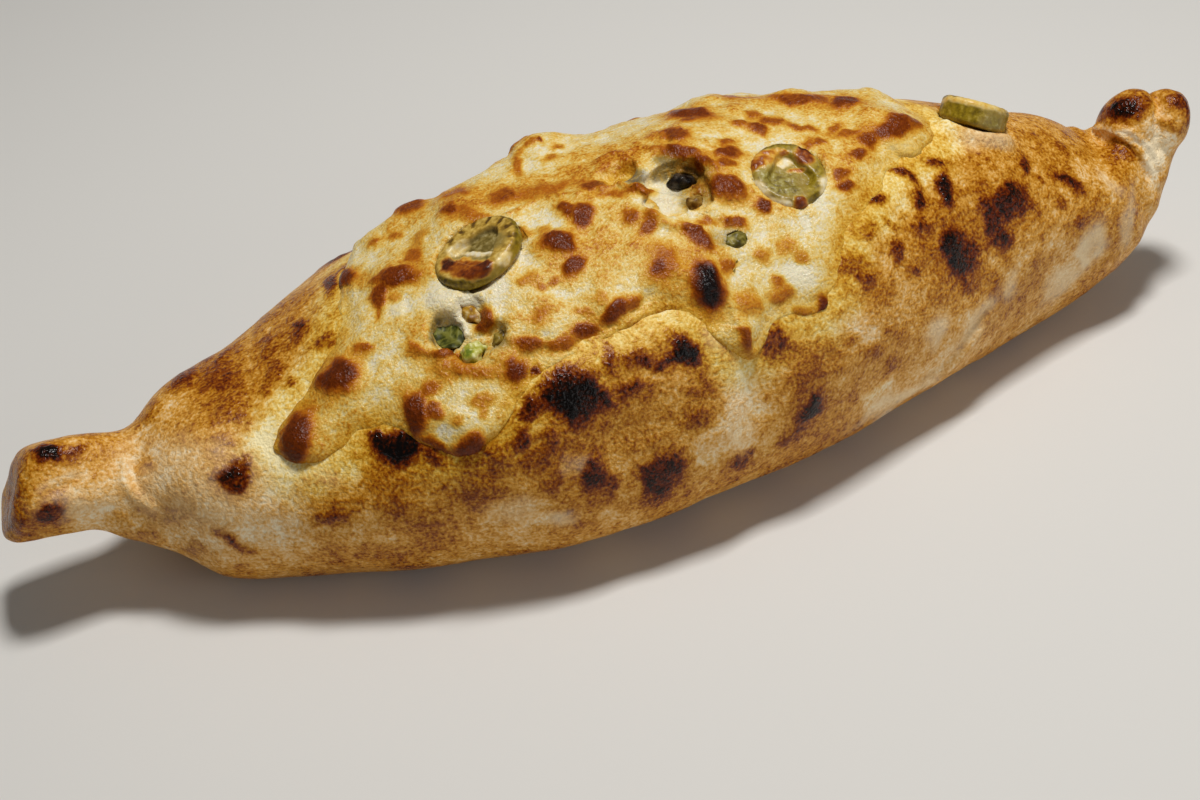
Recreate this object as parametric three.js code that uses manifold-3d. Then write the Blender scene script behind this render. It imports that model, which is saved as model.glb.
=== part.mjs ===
// Stuffed baguette: a spindle of pizza dough with pinched ends, closed round a melted cheese filling
// that comes out through two slits on top, with chilli slices baked on and pieces of the filling in
// its two openings. Millimetres, +Z up, X along the loaf, the origin under its middle on the floor.
import * as THREE from 'three';
import { mergeVertices } from 'three/addons/utils/BufferGeometryUtils.js';
import Module from 'manifold-3d';

const wasm = await Module();
wasm.setup();

// Clearance between pieces that touch.
const GAP = 0.3;

// The loaf, station by station: x, y and z of its middle line, half width, height above the middle
// and depth below it. Angles round the loaf are degrees from the top, positive towards -Y.
const STATIONS = [
  [-168, 0, 36.5, 9, 10.5, 8],
  [-165.5, 0, 37, 11, 13, 9.5],
  [-157, 0, 37, 11.5, 11.5, 10.5],
  [-145, 0, 34.5, 12, 10.5, 10.5],
  [-135, 0, 31, 17, 14.5, 14.5],
  [-122, 0, 30, 28, 20, 27],
  [-102, 1, 29, 36, 23.5, 30],
  [-72, 1.5, 29, 49.5, 34, 30],
  [-36, 2, 29, 58.5, 45, 30],
  [0, 2.5, 29, 58.5, 49.5, 30],
  [36, 3, 29, 53.5, 50, 30],
  [72, 3.5, 29, 43.5, 46, 30],
  [104, 3.5, 30, 33, 37.5, 31],
  [126, 2.5, 32, 26, 26.5, 30],
  [140, 1, 33.5, 22.5, 18, 22],
  [149, 0, 36.5, 16.5, 14.5, 14.5],
  [156, 0, 42, 11, 12, 10.5],
  [161, 0, 46.5, 8, 10, 7.5],
  [164.5, 0, 50, 6.5, 7.5, 6],
  [167, 0, 52.5, 3.5, 3.5, 3.5],
];
const TOP_ROUNDNESS = 2.1;
const LOW_ROUNDNESS = 2.6;
// Height in this table at which the oven floor has flattened the loaf's underside.
const SOLE = 1.6;
// How far the left end's lower edge reaches out beyond its middle, for each millimetre below it.
const TAIL_SLANT = 0.7;
// Where the left tail ends and the right neck starts, rings of faces along each, and faces round.
const TAIL_END = -130;
const NECK_START = 136;
const TAIL_RINGS = 10;
const BODY_RINGS = 38;
const NECK_RINGS = 14;
const LOAF_SIDES = 36;

// Large forms in the dough: x, angle, half length, half width (mm round the loaf) and rise.
const DOUGH_SWELLS = [
  [-24, 54, 26, 8, 4],
  [12, 79, 6, 14, -2.5],
  [40, 74, 18, 14, 1.5],
  [-92, 70, 16, 14, 1.5],
  [96, 40, 14, 12, 1.2],
  [-60, -70, 26, 16, 2],
  [30, -74, 24, 16, 2],
];
const DOUGH_WAVE = 0.5;
// The twist where the right end was pinched: ridge height, spacing, and where it starts, ends and fades.
const TWIST = { rise: 0.6, pitch: 6, from: 139, to: 160, fade: 5 };
// The right end's two knobs: middle, radii and lean along the loaf.
const KNOBS = [
  { middle: [152.5, 1.5, 48], radii: [8.5, 9.5, 13.5], lean: 0.3 },
  { middle: [161.5, -0.5, 48.5], radii: [8, 8.5, 11.5], lean: 0.5 },
];
const KNOB_SIDES = [14, 8];

// Filling: dough wall round it, where it ends along the loaf, its floor, and the two slits above it.
const WALL = 11;
const FILLING_FROM = -108;
const FILLING_TO = 116;
const FILLING_FLOOR = 11.5;
const FILLING_RINGS = 16;
const FILLING_SIDES = 16;
const SLITS = [
  { x: -46, angle: 27, halfLength: 24, halfWidth: 12 },
  { x: 22, angle: 12, halfLength: 27, halfWidth: 10 },
];
const SLIT_DEPTH = 15;
const SLIT_TOP = 8;
// The cheese in a slit: how far it stands above the dough, and how much shorter it is at each end.
const PLUG_TOP = 1;
const PLUG_SHORT = 3;

// Edges of the melted cheese on the loaf, near and far, as x and angle from its left tip to its right.
const CHEESE_NEAR = [
  [-105, 42], [-97, 53], [-86, 49], [-77, 47], [-71, 55], [-62, 62], [-54, 58.5], [-46, 51], [-38, 46.5],
  [-26, 45], [-10, 44], [-1, 48], [5, 57], [11, 63], [16, 60], [23, 57], [32, 59], [39, 53], [46, 43],
  [58, 34], [72, 25], [84, 18], [89, 4],
];
const CHEESE_FAR = [
  [-105, 42], [-100, 29], [-92, 20], [-84, 10], [-76, -10], [-68, -32], [-56, -38], [-46, -34],
  [-37, -32], [-24, -36], [-18, -46], [-10, -46], [-3, -42], [8, -42], [22, -54], [36, -42],
  [50, -46], [62, -34], [76, -26], [86, -10], [89, 4],
];
const CHEESE_THICKNESS = 2.6;
const CHEESE_EDGE_THICKNESS = 0.6;
const CHEESE_EDGE_ROUND = 10;
const CHEESE_UNDER = -2;
const RIM_STEPS = 300;
const CHEESE_ROWS = 48;
const CHEESE_TOP_COLUMNS = 20;
const UNDER_COLUMNS = 4;

// Blisters in the cheese: x, angle, width and rise.
const BLISTERS = [
  [-98, 42, 14, 2.4], [-84, 23, 12, 2], [-71, -13, 11, 2], [-64, -2, 10, 1.6], [-69, -27, 11, 3],
  [-61, -25, 10, 2.4], [-51, -29, 12, 3], [-69, 47, 10, 1.8], [-60, 57, 13, 1.8], [-25, 14, 10, 2],
  [-16, 6, 10, 2], [-4, 32, 9, 1.4], [5, 40, 10, 2], [-33, 41, 11, 1.6], [-18, 39, 12, 1.6],
  [22, 13, 10, 1.8], [20, -2, 12, 2], [10, 57, 7, 1.6], [-15, -28, 12, 3.4], [-8, -27, 11, 2.9],
  [80, -19, 13, 3], [72, 7, 14, 2], [80, 14, 11, 1.6], [56, -18, 11, 2], [34, -27, 12, 2],
  [-42, -14, 10, 1.4], [44, -37, 11, 2],
];

// The hollows that make up the two openings in the cheese, four for each: place, radii along and
// across the loaf, and depth.
const HOLLOWS = [
  { x: -56, angle: 25, along: 5, across: 6.4, depth: 5.5 },
  { x: -51.5, angle: 32, along: 6.6, across: 5.4, depth: 3.8 },
  { x: -46.8, angle: 31.5, along: 4.6, across: 3.8, depth: 3.8 },
  { x: -50, angle: 23.5, along: 5, across: 6, depth: 3.2 },
  { x: -1.5, angle: 0.5, along: 6, across: 4.6, depth: 2.4 },
  { x: 10.5, angle: 9, along: 8.4, across: 5.6, depth: 5 },
  { x: 5, angle: 15.5, along: 6.4, across: 6.2, depth: 3.6 },
  { x: 12.5, angle: 15.5, along: 6, across: 6.2, depth: 3.8 },
];
const HOLLOW_SIDES = [10, 6];

// Chilli slices: place, how far the middle stands off the dough, radius, thickness, turn, lean towards
// the near side and tip towards the right.
const SLICES = [
  { x: -41.5, angle: 7.5, lift: 2.6, radius: 11.6, thickness: 4.4, turn: 0.5, lean: -0.15, tip: -0.08 },
  { x: 38, angle: 18.5, lift: 0.9, radius: 10, thickness: 4.2, turn: 1.3, lean: 0.02 },
  { x: 103.2, angle: 3.5, lift: 1.3, radius: 9.3, thickness: 6.8, turn: 0.2, lean: -0.42, tip: 0.2 },
];
const SLICE_SIDES = 26;
const SLICE_ROUND = 0.9;
const SLICE_HOLLOW = 0.5;
const SLICE_HOLLOW_DEPTH = 2;
const SLICE_LOBES = 0.18;
const SLICE_OVAL = 0.04;

// Pieces of filling that show in the openings: place, turn and radii.
const CHUNKS = [
  { name: 'pepper_piece_1', x: -52.8, angle: 33.5, lift: 0.2, turn: 0.6, radii: [3.9, 2.9, 2.4] },
  { name: 'pepper_piece_2', x: -45.6, angle: 32, lift: -0.4, turn: 0.8, radii: [2.4, 1.5, 1.7] },
  { name: 'pepper_piece_3', x: -49.2, angle: 22.5, lift: -0.2, turn: -1.1, radii: [3.5, 1.8, 1.7] },
  { name: 'pepper_piece_4', x: 17, angle: 32, lift: 1.4, turn: 0.1, radii: [3.6, 2.5, 1.6] },
  { name: 'olive_piece', x: 13, angle: 7.5, lift: -0.4, turn: -0.2, radii: [3.8, 2.3, 2.1] },
  { name: 'mushroom_piece', x: 12.5, angle: 16, lift: -0.1, turn: 0.7, radii: [2.6, 1.7, 1.8] },
];
const CHUNK_UNEVEN = 0.22;
const LEAF = { x: -56.2, angle: 25, lift: -0.6, turn: -0.9 };
const LEAF_SIZE = { length: 8.5, width: 6.5, thickness: 0.8, wave: 0.6 };
const LEAF_STEPS = 8;

const COLOURS = {
  crust: 0xc9924e,
  melted_cheese: 0xe9cf95,
  chilli: 0x8d8a35,
  pepper_piece_1: 0xb9bd5c,
  pepper_piece_2: 0x7d7422,
  pepper_piece_3: 0xb5821f,
  pepper_piece_4: 0x53561c,
  olive_piece: 0x17130f,
  mushroom_piece: 0xa98a4c,
  leaf_piece: 0x2c3f16,
};

const radians = THREE.MathUtils.degToRad;
const ease = THREE.MathUtils.smoothstep;
const bell = (distance) => Math.exp(-distance * distance);

const spine = new THREE.CatmullRomCurve3(STATIONS.map(([x, y, z]) => new THREE.Vector3(x, y, z)));
const girth = new THREE.CatmullRomCurve3(STATIONS.map((row) => new THREE.Vector3(...row.slice(3))));
const cheeseNear = new THREE.SplineCurve(CHEESE_NEAR.map((row) => new THREE.Vector2(...row)));
const cheeseFar = new THREE.SplineCurve(CHEESE_FAR.map((row) => new THREE.Vector2(...row)));

// The place along a curve, from 0 to 1, where it passes a given x.
function placeOn(curve, x) {
  let low = 0;
  let high = 1;
  for (let step = 0; step < 30; step += 1) {
    const middle = (low + high) / 2;
    if (curve.getPoint(middle).x < x) low = middle;
    else high = middle;
  }
  return low;
}

const placeAt = (x) => placeOn(spine, x);

// A point on the loaf, lifted off its smooth surface; nothing goes below the sole.
function loafPoint(place, angle, lift = 0, floor = SOLE) {
  const size = girth.getPoint(place);
  const side = new THREE.Vector3(0, -1, 0);
  const up = new THREE.Vector3().crossVectors(side, spine.getTangent(place)).normalize();
  const cosine = Math.cos(radians(angle));
  const sine = Math.sin(radians(angle));
  const power = 2 / (cosine > 0 ? TOP_ROUNDNESS : LOW_ROUNDNESS);
  const reach = (cosine > 0 ? size.y : size.z) + lift;
  const across = Math.sign(sine) * Math.abs(sine) ** power * (size.x + lift);
  const height = Math.sign(cosine) * Math.abs(cosine) ** power * reach;
  const point = spine.getPoint(place).addScaledVector(side, across).addScaledVector(up, height);
  point.x += TAIL_SLANT * height * (1 - ease(point.x, STATIONS[0][0], TAIL_END));
  point.z = Math.max(point.z, floor);
  return point;
}

// Millimetres round the loaf for one degree, at a given x.
function degreeLength(x) {
  const size = girth.getPoint(placeAt(x));
  return radians((size.x + size.y) / 2);
}

// Axes that stand on the loaf: X along it and Z outwards, leaning about X, tipped about Y and turned
// about Z.
function standing({ x, angle, lift, turn = 0, lean = 0, tip = 0 }) {
  const place = placeAt(x);
  const step = 0.004;
  const along = loafPoint(place + step, angle).sub(loafPoint(place - step, angle)).normalize();
  const towards = loafPoint(place, angle + 1).sub(loafPoint(place, angle - 1));
  const outward = new THREE.Vector3().crossVectors(towards, along).normalize();
  const across = new THREE.Vector3().crossVectors(outward, along);
  const matrix = new THREE.Matrix4().makeBasis(along, across, outward);
  matrix.setPosition(loafPoint(place, angle).addScaledVector(outward, lift));
  matrix.multiply(new THREE.Matrix4().makeRotationX(lean));
  matrix.multiply(new THREE.Matrix4().makeRotationY(tip));
  return matrix.multiply(new THREE.Matrix4().makeRotationZ(turn));
}

// Merges shared vertices and drops the triangles that a closed pole leaves without area.
function closed(geometry) {
  const bare = geometry.clone();
  bare.deleteAttribute('normal');
  bare.deleteAttribute('uv');
  const merged = mergeVertices(bare, 1e-3);
  const corners = [];
  for (let i = 0; i < merged.index.count; i += 3) {
    const [a, b, c] = [0, 1, 2].map((k) => merged.index.getX(i + k));
    if (a !== b && b !== c && c !== a) corners.push(a, b, c);
  }
  merged.setIndex(corners);
  merged.computeVertexNormals();
  return merged;
}

function solid(geometry) {
  const { attributes, index } = closed(geometry);
  const vertProperties = new Float32Array(attributes.position.array);
  const triVerts = new Uint32Array(index.array);
  return new wasm.Manifold(new wasm.Mesh({ numProp: 3, vertProperties, triVerts }));
}

function geometryOf(body) {
  const { vertProperties, triVerts } = body.getMesh();
  const geometry = new THREE.BufferGeometry();
  geometry.setAttribute('position', new THREE.BufferAttribute(vertProperties, 3));
  geometry.setIndex(new THREE.BufferAttribute(triVerts, 1));
  geometry.computeVertexNormals();
  return geometry;
}

// A sphere's grid moved to new points: shape gives each one by its row, from pole to pole, and its
// column, once round.
function moulded(columns, rows, shape) {
  const geometry = new THREE.SphereGeometry(1, columns, rows);
  const { position } = geometry.attributes;
  for (let i = 0; i < position.count; i += 1) {
    const row = Math.floor(i / (columns + 1));
    const point = shape(row, (i % (columns + 1)) % columns);
    position.setXYZ(i, point.x, point.y, point.z);
  }
  return geometry;
}

// Relief of the dough above the smooth loaf: swells, a slow wave, and the twist at the right end.
function doughRelief(x, angle) {
  const round = radians(angle);
  let rise = DOUGH_WAVE * (Math.sin(x / 9 + 2 * Math.sin(round * 2)) + Math.sin(round * 5 + x / 14));
  for (const [atX, atAngle, halfLength, halfWidth, height] of DOUGH_SWELLS) {
    const across = (angle - atAngle) * degreeLength(atX) / halfWidth;
    rise += height * bell((x - atX) / halfLength) * bell(across);
  }
  const { from, to, fade, pitch } = TWIST;
  const twisted = ease(x, from, from + fade) * (1 - ease(x, to - fade, to));
  rise += twisted * TWIST.rise * Math.sin(2 * Math.PI * (x - from) / pitch + round);
  return rise * ease(Math.cos(round), -0.75, -0.2);
}

// Places of the loaf's rings, closer together at its two ends.
function ringPlaces() {
  const tail = placeAt(TAIL_END);
  const neck = placeAt(NECK_START);
  const places = [];
  for (let ring = 0; ring < TAIL_RINGS; ring += 1) places.push(tail * ring / TAIL_RINGS);
  for (let ring = 0; ring < BODY_RINGS; ring += 1) {
    places.push(placeAt(TAIL_END + (NECK_START - TAIL_END) * ring / BODY_RINGS));
  }
  for (let ring = 0; ring <= NECK_RINGS; ring += 1) places.push(neck + (1 - neck) * ring / NECK_RINGS);
  return places;
}

// The whole loaf with its relief, grown outwards by a lift.
function loaf(lift) {
  const places = ringPlaces();
  const rows = places.length + 1;
  return moulded(LOAF_SIDES, rows, (row, column) => {
    if (row === 0) return spine.getPoint(0);
    if (row === rows) return spine.getPoint(1);
    const place = places[row - 1];
    const turned = 360 * column / LOAF_SIDES;
    const angle = turned < 180 ? -turned : 360 - turned;
    return loafPoint(place, angle, lift + doughRelief(spine.getPoint(place).x, angle));
  });
}

// The filling's body: the loaf less its wall, rounded off at both ends and shrunk by an inset.
function filling(inset) {
  const middle = (FILLING_FROM + FILLING_TO) / 2;
  const half = (FILLING_TO - FILLING_FROM) / 2 - inset;
  return moulded(FILLING_SIDES, FILLING_RINGS, (row, column) => {
    const turn = Math.PI * row / FILLING_RINGS;
    const place = placeAt(middle - half * Math.cos(turn));
    const full = loafPoint(place, -360 * column / FILLING_SIDES, -WALL - inset, FILLING_FLOOR + inset);
    return spine.getPoint(place).lerp(full, Math.sqrt(Math.sin(turn)));
  });
}

// Steps from 0 to 1 that are half as wide at both ends.
const spaced = (share) => share / 2 + (1 - Math.cos(Math.PI * share)) / 4;

// A sheet that follows the loaf between a near and a far edge, given as angles at each x, with its own
// lift on top and underneath. It closes to a point at both ends.
function sheet({ rows, topColumns, from, to, near, far, top, under }) {
  return moulded(topColumns + 1 + UNDER_COLUMNS, rows, (row, column) => {
    const x = from + (to - from) * spaced(row / rows);
    const onTop = column <= topColumns || row % rows === 0;
    const back = 1 - (column - topColumns - 1) / (UNDER_COLUMNS - 1);
    const share = column <= topColumns ? spaced(column / topColumns) : back;
    const angle = near(x) + (far(x) - near(x)) * share;
    return loafPoint(placeAt(x), angle, doughRelief(x, angle) + (onTop ? top(x, angle) : under));
  });
}

// A slit through the dough into the filling, from a depth up to a lift.
function slit({ x: middle, angle, halfLength, halfWidth }, depth, lift) {
  const degrees = halfWidth / degreeLength(middle);
  const half = (x) => degrees * Math.sqrt(Math.max(0, 1 - ((x - middle) / halfLength) ** 2));
  const near = (x) => angle + half(x);
  const far = (x) => angle - half(x);
  const span = { rows: 8, topColumns: 4, from: middle - halfLength, to: middle + halfLength };
  return sheet({ ...span, near, far, top: () => lift, under: -depth });
}

// Cheese on top of the loaf: thin at its edge, with its blisters.
function topping() {
  const near = (x) => cheeseNear.getPoint(placeOn(cheeseNear, x)).y;
  const far = (x) => cheeseFar.getPoint(placeOn(cheeseFar, x)).y;
  const rim = [...cheeseNear.getSpacedPoints(RIM_STEPS), ...cheeseFar.getSpacedPoints(RIM_STEPS)];
  const top = (x, angle) => {
    const degree = degreeLength(x);
    const inward = Math.min(...rim.map((point) => Math.hypot(x - point.x, (angle - point.y) * degree)));
    const thickness = CHEESE_THICKNESS - CHEESE_EDGE_THICKNESS;
    let lift = GAP + CHEESE_EDGE_THICKNESS + thickness * ease(inward, 0, CHEESE_EDGE_ROUND);
    for (const [atX, atAngle, width, rise] of BLISTERS) {
      const away = Math.hypot(x - atX, (angle - atAngle) * degreeLength(atX));
      lift += rise * bell(away / (width / 2)) * ease(inward, 0, 2);
    }
    return lift;
  };
  const [from] = CHEESE_NEAR[0];
  const [to] = CHEESE_NEAR.at(-1);
  const span = { rows: CHEESE_ROWS, topColumns: CHEESE_TOP_COLUMNS, from, to };
  return sheet({ ...span, near, far, top, under: CHEESE_UNDER });
}

// A ball stretched to three radii and put at a place, with a number of faces round it and up it.
function ball(radii, matrix, sides) {
  const geometry = new THREE.SphereGeometry(1, ...sides);
  return geometry.scale(...radii).applyMatrix4(matrix);
}

// A chilli slice lying flat: a disc with rounded rims and a three-lobed seed hollow in its top.
function slice(radius, thickness) {
  const top = thickness / 2;
  const hollow = radius * SLICE_HOLLOW;
  const profile = [
    [0, -top], [radius - SLICE_ROUND, -top], [radius, SLICE_ROUND - top], [radius, top - SLICE_ROUND],
    [radius - SLICE_ROUND, top], [hollow + SLICE_ROUND, top], [hollow, top - SLICE_HOLLOW_DEPTH],
    [0, top - SLICE_HOLLOW_DEPTH],
  ];
  const points = profile.map(([x, y]) => new THREE.Vector2(x, y));
  const geometry = new THREE.LatheGeometry(points, SLICE_SIDES).rotateX(Math.PI / 2);
  const { position } = geometry.attributes;
  for (let i = 0; i < position.count; i += 1) {
    const x = position.getX(i);
    const y = position.getY(i);
    const round = Math.atan2(y, x);
    const inner = Math.hypot(x, y) < hollow + SLICE_ROUND * 1.01;
    const grow = 1 + (inner ? SLICE_LOBES * Math.cos(3 * round) : SLICE_OVAL * Math.cos(2 * round));
    position.setXY(i, x * grow, y * grow);
  }
  return geometry;
}

// An uneven lump of filling.
function chunk(radii) {
  const geometry = new THREE.IcosahedronGeometry(1, 1);
  const { position } = geometry.attributes;
  for (let i = 0; i < position.count; i += 1) {
    const point = new THREE.Vector3().fromBufferAttribute(position, i);
    const uneven = Math.sin(4 * point.x + 2 * point.y) * Math.cos(3 * point.z - 2 * point.y);
    point.multiplyScalar(1 + CHUNK_UNEVEN * uneven);
    position.setXYZ(i, point.x, point.y, point.z);
  }
  return geometry.scale(...radii);
}

// A thin wavy leaf: its outline has the same number of points on both edges.
function leaf(margin) {
  const { length, width, thickness, wave } = LEAF_SIZE;
  const edge = [];
  for (let step = 0; step <= LEAF_STEPS; step += 1) {
    const share = step / LEAF_STEPS;
    const half = (width / 2) * Math.sin(Math.PI * (0.06 + 0.88 * share)) ** 0.7 + margin;
    edge.push(new THREE.Vector2((share - 0.5) * (length + 2 * margin), half));
  }
  const below = edge.map((point) => new THREE.Vector2(point.x, -point.y));
  const outline = new THREE.Shape([...below, ...edge.reverse()]);
  const depth = thickness + 2 * margin;
  const geometry = new THREE.ExtrudeGeometry(outline, { depth, bevelEnabled: false });
  geometry.translate(0, 0, -depth / 2);
  const { position } = geometry.attributes;
  for (let i = 0; i < position.count; i += 1) {
    position.setZ(i, position.getZ(i) + wave * Math.sin(2 * Math.PI * position.getX(i) / length));
  }
  return geometry;
}

const group = new THREE.Group();

function piece(name, geometry, colour, roughness) {
  const material = new THREE.MeshStandardMaterial({ color: colour, roughness, metalness: 0 });
  const mesh = new THREE.Mesh(geometry, material);
  mesh.name = name;
  group.add(mesh);
  return mesh;
}

// Seats: each topping a clearance larger, to be cut out of what it lies in.
const sliceSeats = SLICES.map((row) => {
  const [long, short] = [SLICE_OVAL, -SLICE_OVAL].map((oval) => row.radius * (1 + oval) + GAP);
  const seat = new THREE.CylinderGeometry(1, 1, row.thickness + 2 * GAP, SLICE_SIDES);
  return solid(seat.rotateX(Math.PI / 2).scale(long, short, 1).applyMatrix4(standing(row)));
});
const chunkSeats = CHUNKS.map((row) => {
  const seat = chunk(row.radii.map((radius) => radius + GAP));
  return solid(seat.applyMatrix4(standing(row)));
});
const leafSeat = solid(leaf(GAP).applyMatrix4(standing(LEAF)));

// Crust: the loaf and its knobs, less the filling's room, the slits and the toppings' seats.
let crust = solid(loaf(0));
for (const { middle, radii, lean } of KNOBS) {
  const matrix = new THREE.Matrix4().makeRotationY(lean).setPosition(...middle);
  crust = crust.add(solid(ball(radii, matrix, KNOB_SIDES)));
}
crust = crust.subtract(solid(filling(0)));
for (const row of SLITS) crust = crust.subtract(solid(slit(row, SLIT_DEPTH, SLIT_TOP)));
for (const seat of [...sliceSeats, ...chunkSeats, leafSeat]) crust = crust.subtract(seat);
piece('crust', geometryOf(crust), COLOURS.crust, 0.6);

// Melted cheese: the filling, the plugs in the slits and the cheese on top, opened and seated.
let cheese = solid(topping()).subtract(solid(loaf(GAP)));
cheese = cheese.add(solid(filling(GAP)));
for (const row of SLITS) {
  const plug = { ...row, halfLength: row.halfLength - PLUG_SHORT, halfWidth: row.halfWidth - GAP };
  cheese = cheese.add(solid(slit(plug, SLIT_DEPTH - GAP, PLUG_TOP)));
}
for (const { along, across, depth, ...place } of HOLLOWS) {
  const matrix = standing({ ...place, lift: GAP + CHEESE_THICKNESS });
  cheese = cheese.subtract(solid(ball([along, across, depth], matrix, HOLLOW_SIDES)));
}
for (const seat of [...sliceSeats, ...chunkSeats, leafSeat]) cheese = cheese.subtract(seat);
piece('melted_cheese', geometryOf(cheese), COLOURS.melted_cheese, 0.35);

SLICES.forEach((row, index) => {
  const geometry = closed(slice(row.radius, row.thickness));
  piece(`chilli_slice_${index + 1}`, geometry, COLOURS.chilli, 0.4).applyMatrix4(standing(row));
});
for (const row of CHUNKS) {
  const geometry = closed(chunk(row.radii));
  piece(row.name, geometry, COLOURS[row.name], 0.4).applyMatrix4(standing(row));
}
piece('leaf_piece', closed(leaf(0)), COLOURS.leaf_piece, 0.5).applyMatrix4(standing(LEAF));

// The origin goes under the middle of the whole, on the sole.
const middle = new THREE.Box3().setFromObject(group).getCenter(new THREE.Vector3());
group.position.set(-middle.x, -middle.y, -SOLE);

export default group;
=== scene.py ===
import math
import random

import bmesh
import bpy
import numpy as np
from mathutils import Matrix, Vector, noise
from mathutils.bvhtree import BVHTree


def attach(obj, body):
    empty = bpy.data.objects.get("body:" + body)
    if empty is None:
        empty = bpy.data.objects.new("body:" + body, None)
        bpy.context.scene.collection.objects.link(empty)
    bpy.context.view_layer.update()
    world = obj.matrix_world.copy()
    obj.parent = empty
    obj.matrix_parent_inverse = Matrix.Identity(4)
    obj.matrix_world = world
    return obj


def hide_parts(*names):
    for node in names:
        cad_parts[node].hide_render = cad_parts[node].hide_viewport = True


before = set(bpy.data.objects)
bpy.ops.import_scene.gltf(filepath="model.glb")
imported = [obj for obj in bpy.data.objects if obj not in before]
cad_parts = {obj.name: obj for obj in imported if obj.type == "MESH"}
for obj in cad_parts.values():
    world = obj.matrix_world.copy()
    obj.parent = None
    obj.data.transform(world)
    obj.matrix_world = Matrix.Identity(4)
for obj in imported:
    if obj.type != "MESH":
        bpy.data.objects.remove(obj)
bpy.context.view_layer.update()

# Camera: it stands where the photo was taken from, above the near side of the loaf and turned a
# little. Marks of baking are placed further down by where they show in this picture.
PHOTO_WIDTH, PHOTO_HEIGHT = 1200, 800
LENS, SENSOR = 50, 36
AZIMUTH, ELEVATION, ROLL = math.radians(-17), math.radians(40), math.radians(-6)
AIM = Vector((-0.01211, -0.00248, 0.0094))
DISTANCE = 0.464

backward = Vector((
    math.sin(AZIMUTH) * math.cos(ELEVATION),
    -math.cos(AZIMUTH) * math.cos(ELEVATION),
    math.sin(ELEVATION),
))
level = Vector((0, 0, 1)).cross(backward).normalized()
upright = backward.cross(level)
picture_right = level * math.cos(ROLL) + upright * math.sin(ROLL)
picture_up = upright * math.cos(ROLL) - level * math.sin(ROLL)
standpoint = AIM + backward * DISTANCE
focal_pixels = LENS / SENSOR * PHOTO_WIDTH

camera = bpy.data.objects.new("camera", bpy.data.cameras.new("camera"))
camera.data.lens = LENS
camera.data.sensor_width = SENSOR
camera.data.clip_start = 0.01
camera.matrix_world = Matrix((picture_right, picture_up, backward)).transposed().to_4x4()
camera.location = standpoint
bpy.context.scene.collection.objects.link(camera)
bpy.context.scene.camera = camera
bpy.context.scene.view_settings.view_transform = "Standard"

# Crust: the loaf of pizza dough, rolled, filled and pinched shut at both ends, then baked on a hot
# stone. It is pale where flour stuck, golden in between, and black where bubbles caught the heat.
DOUGH_STEP, NECK_STEP, SOLE_STEP = 0.0012, 0.0008, 0.004
SOLE_TOP, NECK_START = 0.003, 0.125


def tree_of(*names):
    """Solids of the frame, joined for finding what lies near a point or along a line of sight."""
    joined = bmesh.new()
    for name in names:
        joined.from_mesh(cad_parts[name].data)
    tree = BVHTree.FromBMesh(joined)
    joined.free()
    return tree


whole = tree_of(*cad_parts)
laid_on = tree_of(*[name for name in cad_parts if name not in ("crust", "melted_cheese")])
# A face this close under a slice or a piece of filling is part of its seat, and stays as it is.
SEAT_GAP = 0.0006
# Points this far from a slice or a piece of filling start to be drawn up to it, and this near are at it.
CLOSING_FROM, CLOSING_TO = 0.001, 0.0004
# How far a point may stray from its solid when the faces are rounded out.
STRAY = 0.0003
# How often faces are cut in half at most.
CUTS = 7


def copy_of(name, merge=1e-6):
    """A copy of a solid with its close points merged and its flat triangles joined into quads."""
    bm = bmesh.new()
    bm.from_mesh(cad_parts[name].data)
    bmesh.ops.remove_doubles(bm, verts=bm.verts, dist=merge)
    bmesh.ops.dissolve_degenerate(bm, edges=bm.edges, dist=merge)
    bmesh.ops.join_triangles(
        bm, faces=bm.faces, angle_face_threshold=math.radians(30), angle_shape_threshold=math.radians(60)
    )
    return bm


# Ways to look at a face: straight on, and leaning up, towards the camera, to the right and to the left.
LOOK_SIDES = [Vector(), Vector((0, 0, 0.8)), backward * 0.8, Vector((0.7, 0, 0)), Vector((-0.7, 0, 0))]


def shows(point, normal):
    """True where a point on a solid can be seen from some way off."""
    start = point + normal * 1e-4
    ways = [normal + side for side in LOOK_SIDES]
    return any(whole.ray_cast(start, way.normalized())[0] is None for way in ways)


def refine(bm, step_at, smooth_rounds=12, swell=1.0, keep_seats=True):
    """Cuts the faces that show, and those beside them, to the step at each place, and smooths them.

    A face that is to be cut has a material index of 1 meanwhile.
    """
    bm.normal_update()
    form = BVHTree.FromBMesh(bm)
    for face in bm.faces:
        middle = face.calc_center_median()
        spots = [middle] + [middle.lerp(v.co, 0.7) for v in face.verts]
        face.material_index = int(any(shows(spot, face.normal) for spot in spots))
    for face in [face for face in bm.faces if face.material_index]:
        for edge in face.edges:
            for beside in edge.link_faces:
                beside.material_index = 1
    if keep_seats:
        for face in bm.faces:
            if laid_on.find_nearest(face.calc_center_median())[3] < SEAT_GAP:
                face.material_index = 0
    for _ in range(CUTS):
        long_edges = [
            edge for edge in bm.edges
            if edge.calc_length() > step_at((edge.verts[0].co + edge.verts[1].co) / 2)
            and any(face.material_index for face in edge.link_faces)
        ]
        if not long_edges:
            break
        bmesh.ops.subdivide_edges(bm, edges=long_edges, cuts=1, use_grid_fill=True, smooth=swell)
    for v in bm.verts:
        spot, _, _, away = form.find_nearest(v.co)
        if away > STRAY:
            v.co = spot + (v.co - spot) * (STRAY / away)
    inner = [v for v in bm.verts if all(face.material_index for face in v.link_faces)]
    for _ in range(smooth_rounds):
        bmesh.ops.smooth_vert(bm, verts=inner, factor=0.5, use_axis_x=True, use_axis_y=True, use_axis_z=True)
    for face in bm.faces:
        face.smooth = True
        face.material_index = 0


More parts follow.
